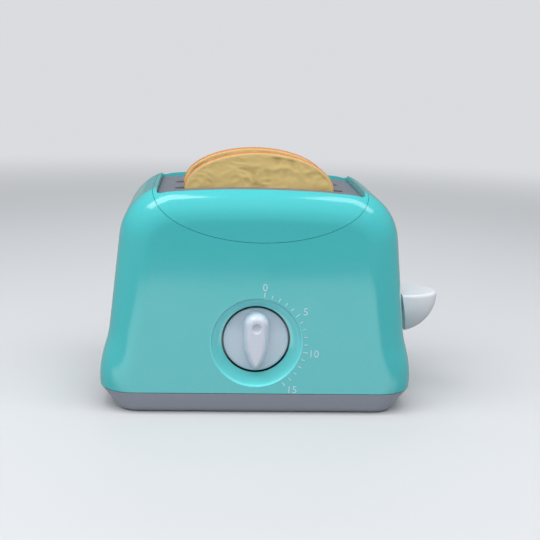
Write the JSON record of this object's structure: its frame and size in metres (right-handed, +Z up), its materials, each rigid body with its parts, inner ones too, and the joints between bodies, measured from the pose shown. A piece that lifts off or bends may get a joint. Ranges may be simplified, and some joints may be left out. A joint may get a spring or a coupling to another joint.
{
  "type": "toy toaster",
  "caption": "Toy pop-up toaster with a press-down side lever, a wind-up dial on the front and toast slices that lift out of two slots.",
  "frame": {"origin": "middle of the flat face that the base stands on", "axes": "+X towards the lever, -Y out of the front with the dial, +Z up"},
  "size_m": [0.2531, 0.1328, 0.1835],
  "materials": {
    "turquoise": "glossy moulded plastic",
    "insert_grey": "semi-gloss moulded plastic",
    "inner_grey": "matt moulded plastic",
    "base_grey": "satin moulded plastic",
    "toast": "matt moulded plastic, tan faces and an orange crust",
    "inner_white": "matt moulded plastic",
    "lever_white": "glossy moulded plastic",
    "knob_lilac": "glossy moulded plastic",
    "timer_white": "matt moulded plastic",
    "timer_steel": "stamped plate",
    "steel": "drawn rod",
    "spring_steel": "spring wire",
    "screw_steel": "zinc-plated"
  },
  "bodies": {
    "housing": {"front_shell": "turquoise", "rear_shell": "turquoise", "top_cover": "turquoise", "slot_insert": "insert_grey", "bread_guide": "inner_grey", "base_tray": "base_grey", "timer_case": "timer_white", "timer_cover": "timer_steel", "guide_rods": "steel", "return_springs": "spring_steel", "latch_pin": "steel", "shell_screws": "screw_steel", "base_screws": "screw_steel", "guide_screws": "screw_steel", "timer_screws": "screw_steel"},
    "carriage": {"carriage": "inner_white", "lever_knob": "lever_white"},
    "toast_front": {"toast_front": "toast"},
    "toast_rear": {"toast_rear": "toast"},
    "dial": {"dial_knob": "knob_lilac", "timer_shaft": "steel"},
    "latch": {"latch_hook": "inner_white"}
  },
  "joints": [
    {"name": "lever_press", "type": "slide", "parent": "housing", "child": "carriage", "axis": [0, 0, 1], "range_m": [-0.024, 0], "stiffness_N_per_m": 120, "springref_m": 0.035, "deforming": ["return_springs"]},
    {"name": "toast_front_lift", "type": "slide", "parent": "carriage", "child": "toast_front", "axis": [0, 0, 1], "range_m": [0, 0.085]},
    {"name": "toast_rear_lift", "type": "slide", "parent": "carriage", "child": "toast_rear", "axis": [0, 0, 1], "range_m": [0, 0.085]},
    {"name": "dial_turn", "type": "hinge", "parent": "housing", "child": "dial", "pos_m": [-0.0016, -0.065, 0.054], "axis": [0, 1, 0], "range_deg": [0, 139]},
    {"name": "latch_swing", "type": "hinge", "parent": "housing", "child": "latch", "pos_m": [-0.0685, -0.0165, 0.032], "axis": [0, 1, 0], "range_deg": [0, 10], "stiffness_Nm_per_rad": 0.02}
  ]
}
